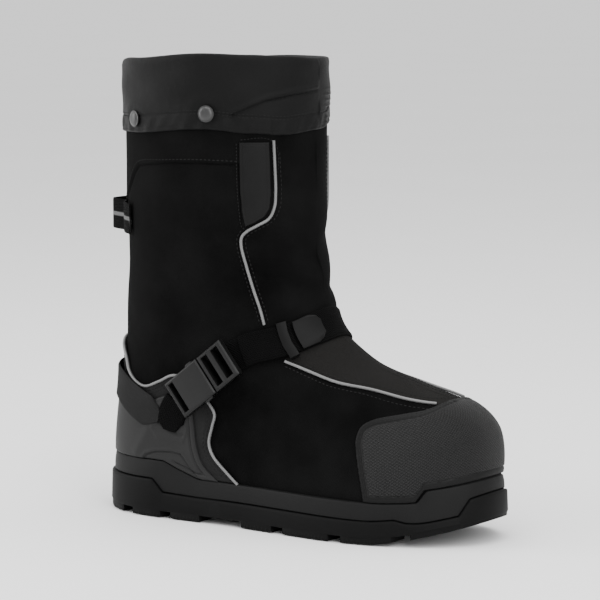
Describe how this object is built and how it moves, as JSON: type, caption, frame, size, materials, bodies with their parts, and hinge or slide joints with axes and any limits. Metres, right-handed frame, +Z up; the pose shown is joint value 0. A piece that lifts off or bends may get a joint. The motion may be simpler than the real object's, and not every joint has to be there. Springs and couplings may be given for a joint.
{
  "type": "winter overshoe",
  "caption": "Black insulated winter overshoe for the right foot, with a studded rubber sole, rubber toe cap, buckled instep strap and folded cuff.",
  "frame": {"origin": "middle of the bounding box on the floor, under the right shoe", "axes": "+X to the toe, +Y to the inner side of the foot, +Z up the shaft"},
  "size_m": [0.3482, 0.1394, 0.3629],
  "materials": {
    "outsole_rubber": "matt, moulded lugs",
    "midsole_rubber": "matt, moulded rim",
    "lining": "flat board",
    "upper_fabric": "matt woven nylon",
    "cap_rubber": "matt, fine diamond texture on the toe cap",
    "panel_fabric": "sewn panel, matt",
    "cuff_fabric": "thin, slightly shiny nylon",
    "webbing": "ribbed webbing",
    "patch_plastic": "soft moulded plastic",
    "buckle_plastic": "satin, moulded",
    "snap_metal": "dark satin paint",
    "piping": "reflective cord",
    "stud_steel": "bright, worn tip"
  },
  "bodies": {
    "root": {"outsole": "outsole_rubber", "midsole": "midsole_rubber", "insole": "lining", "upper": "upper_fabric", "toe_cap": "cap_rubber", "heel_panel": "panel_fabric", "heel_counter": "cap_rubber", "heel_strap": "panel_fabric", "cuff": "cuff_fabric", "pull_loop": "webbing", "back_tab": "webbing", "label_patch_lateral": "patch_plastic", "label_patch_medial": "patch_plastic", "instep_strap": "webbing", "strap_tail": "webbing", "strap_end_tab": "patch_plastic", "strap_keeper": "patch_plastic", "strap_anchor": "webbing", "buckle_socket": "buckle_plastic", "buckle_plug": "buckle_plastic", "snap_rear": "snap_metal", "snap_front": "snap_metal", "piping_shaft_lateral": "piping", "piping_shaft_medial": "piping", "piping_vamp_lateral": "piping", "piping_vamp_medial": "piping", "piping_heel": "piping", "stud_01": "stud_steel", "stud_02": "stud_steel", "stud_03": "stud_steel", "stud_04": "stud_steel", "stud_05": "stud_steel", "stud_06": "stud_steel", "stud_07": "stud_steel", "stud_08": "stud_steel", "stud_09": "stud_steel", "stud_10": "stud_steel", "stud_11": "stud_steel", "stud_12": "stud_steel", "stud_13": "stud_steel", "stud_14": "stud_steel", "stud_15": "stud_steel", "stud_16": "stud_steel"}
  },
  "joints": []
}
